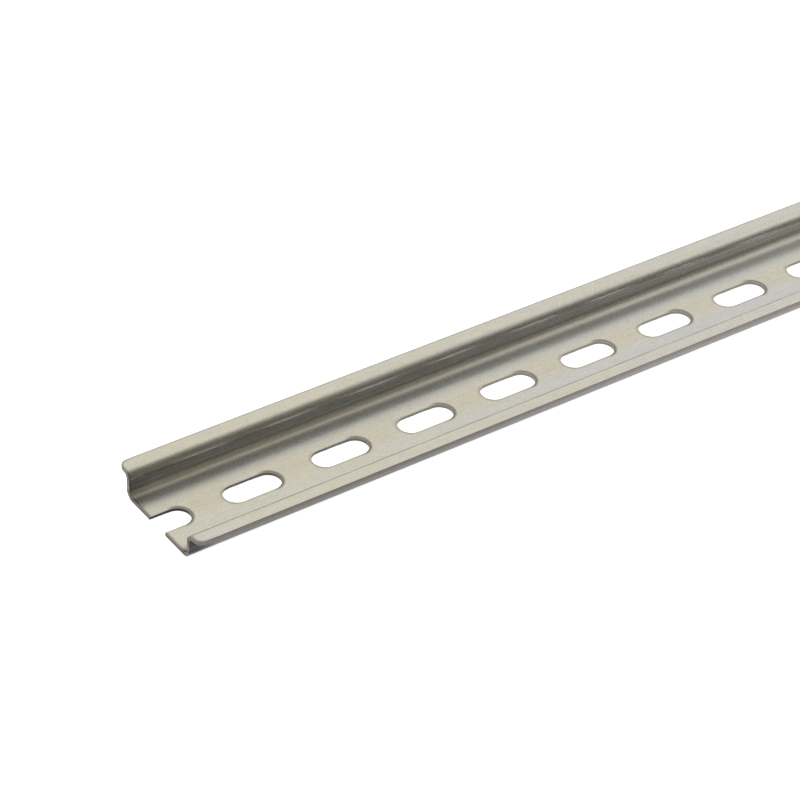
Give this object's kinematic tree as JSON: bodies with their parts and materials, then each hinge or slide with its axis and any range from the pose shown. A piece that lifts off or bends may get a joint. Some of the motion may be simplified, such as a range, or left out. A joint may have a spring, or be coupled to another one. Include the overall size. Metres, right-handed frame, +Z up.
{
  "type": "din rail",
  "caption": "Slotted top-hat mounting rail of bent sheet steel, with two flanges for clip-on devices and a row of oblong slots in its web.",
  "frame": {"origin": "middle of the web's underside, on the surface that the rail lies on", "axes": "+X along the rail, away from the end that is cut just past a slot's centre; +Y across it, towards the left flange; +Z up, out of the open channel"},
  "size_m": [0.5, 0.035, 0.0075],
  "materials": {
    "passivated_zinc_steel": "zinc-plated sheet steel with a pale yellow passivation, satin"
  },
  "bodies": {
    "root": {"din_rail": "passivated_zinc_steel"}
  },
  "joints": []
}
